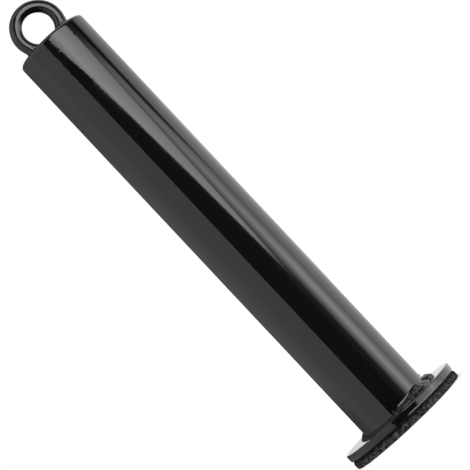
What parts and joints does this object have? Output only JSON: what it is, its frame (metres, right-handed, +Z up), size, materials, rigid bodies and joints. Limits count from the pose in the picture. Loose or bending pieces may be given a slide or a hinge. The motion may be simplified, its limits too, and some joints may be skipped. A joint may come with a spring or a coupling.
{
  "type": "loading pin",
  "caption": "Upright steel loading pin for weight plates: capped tube on a round flange with a rubber sole, and a welded bar eye on top.",
  "frame": {"origin": "centre of the rubber sole's underside, on the tube's axis, where the pin stands on the floor", "axes": "+Z up along the tube towards the eye; the eye's loop lies in the XZ plane, so the way through it is along Y, and the pictured side faces -Y"},
  "size_m": [0.0824, 0.0824, 0.3419],
  "materials": {
    "black_enamel": "high gloss enamel over mild steel, slight orange peel",
    "black_enamel_weld": "the same gloss enamel over rippled weld beads",
    "crumb_rubber": "matt, coarse bonded rubber granules with a rough cut edge",
    "contact_adhesive": "dull dark film of contact cement"
  },
  "bodies": {
    "root": {"rubber_pad": "crumb_rubber", "pad_adhesive": "contact_adhesive", "base_flange": "black_enamel", "base_weld_front_left": "black_enamel_weld", "base_weld_front_right": "black_enamel_weld", "base_weld_back": "black_enamel_weld", "tube": "black_enamel", "end_cap": "black_enamel", "end_cap_weld": "black_enamel", "lifting_eye": "black_enamel", "eye_weld_left": "black_enamel_weld", "eye_weld_right": "black_enamel_weld"}
  },
  "joints": []
}
